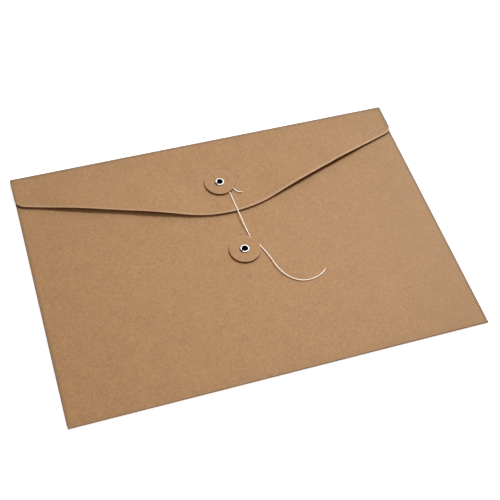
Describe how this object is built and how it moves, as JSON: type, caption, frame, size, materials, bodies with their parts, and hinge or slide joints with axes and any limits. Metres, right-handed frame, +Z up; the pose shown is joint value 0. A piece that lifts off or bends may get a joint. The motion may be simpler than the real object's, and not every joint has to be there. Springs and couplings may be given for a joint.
{
  "type": "string tie envelope",
  "caption": "Flat kraft card envelope whose pointed flap closes with a string led from a riveted card disc on the flap under a matching disc on the front.",
  "frame": {"origin": "underside of the rear panel, at the middle of the folded envelope's width and height", "axes": "+X along the envelope's width, +Y towards the closure fold, +Z up from the rear panel to the flap"},
  "size_m": [0.324, 0.229, 0.0057],
  "materials": {
    "kraft": "uncoated kraft card, matt, with fine fibre mottling",
    "disc_card": "uncoated kraft card discs with paler cut edges",
    "eyelet_metal": "polished nickel-plated eyelets",
    "string": "off-white twisted cotton string",
    "glue": "dried paper glue"
  },
  "bodies": {
    "pocket": {"rear_panel": "kraft", "front_panel": "kraft", "bottom_fold": "kraft", "left_side_fold": "kraft", "right_side_fold": "kraft", "left_glue_flap": "kraft", "right_glue_flap": "kraft", "left_glue_line": "glue", "right_glue_line": "glue", "lower_eyelet": "eyelet_metal", "closure_fold": "kraft"},
    "flap": {"closure_flap": "kraft", "upper_eyelet": "eyelet_metal"},
    "upper_disc": {"upper_disc": "disc_card"},
    "lower_disc": {"lower_disc": "disc_card"},
    "string": {"tie_string": "string"}
  },
  "joints": [
    {"name": "flap_hinge", "type": "hinge", "parent": "pocket", "child": "flap", "pos_m": [0, 0.11278, 0.00172], "axis": [-1, 0, 0], "range_deg": [0, 176], "deforming": ["closure_fold", "tie_string"]},
    {"name": "upper_disc_spin", "type": "hinge", "parent": "flap", "child": "upper_disc", "pos_m": [0.0018, 0.0669, 0.0047], "axis": [0, 0, 1], "continuous": true},
    {"name": "lower_disc_spin", "type": "hinge", "parent": "pocket", "child": "lower_disc", "pos_m": [0.0022, -0.0015, 0.0029], "axis": [0, 0, 1], "continuous": true},
    {"name": "string_swing", "type": "hinge", "parent": "flap", "child": "string", "pos_m": [0.0018, 0.0669, 0.00395], "axis": [0, 0, 1], "range_deg": [0, 40]}
  ]
}
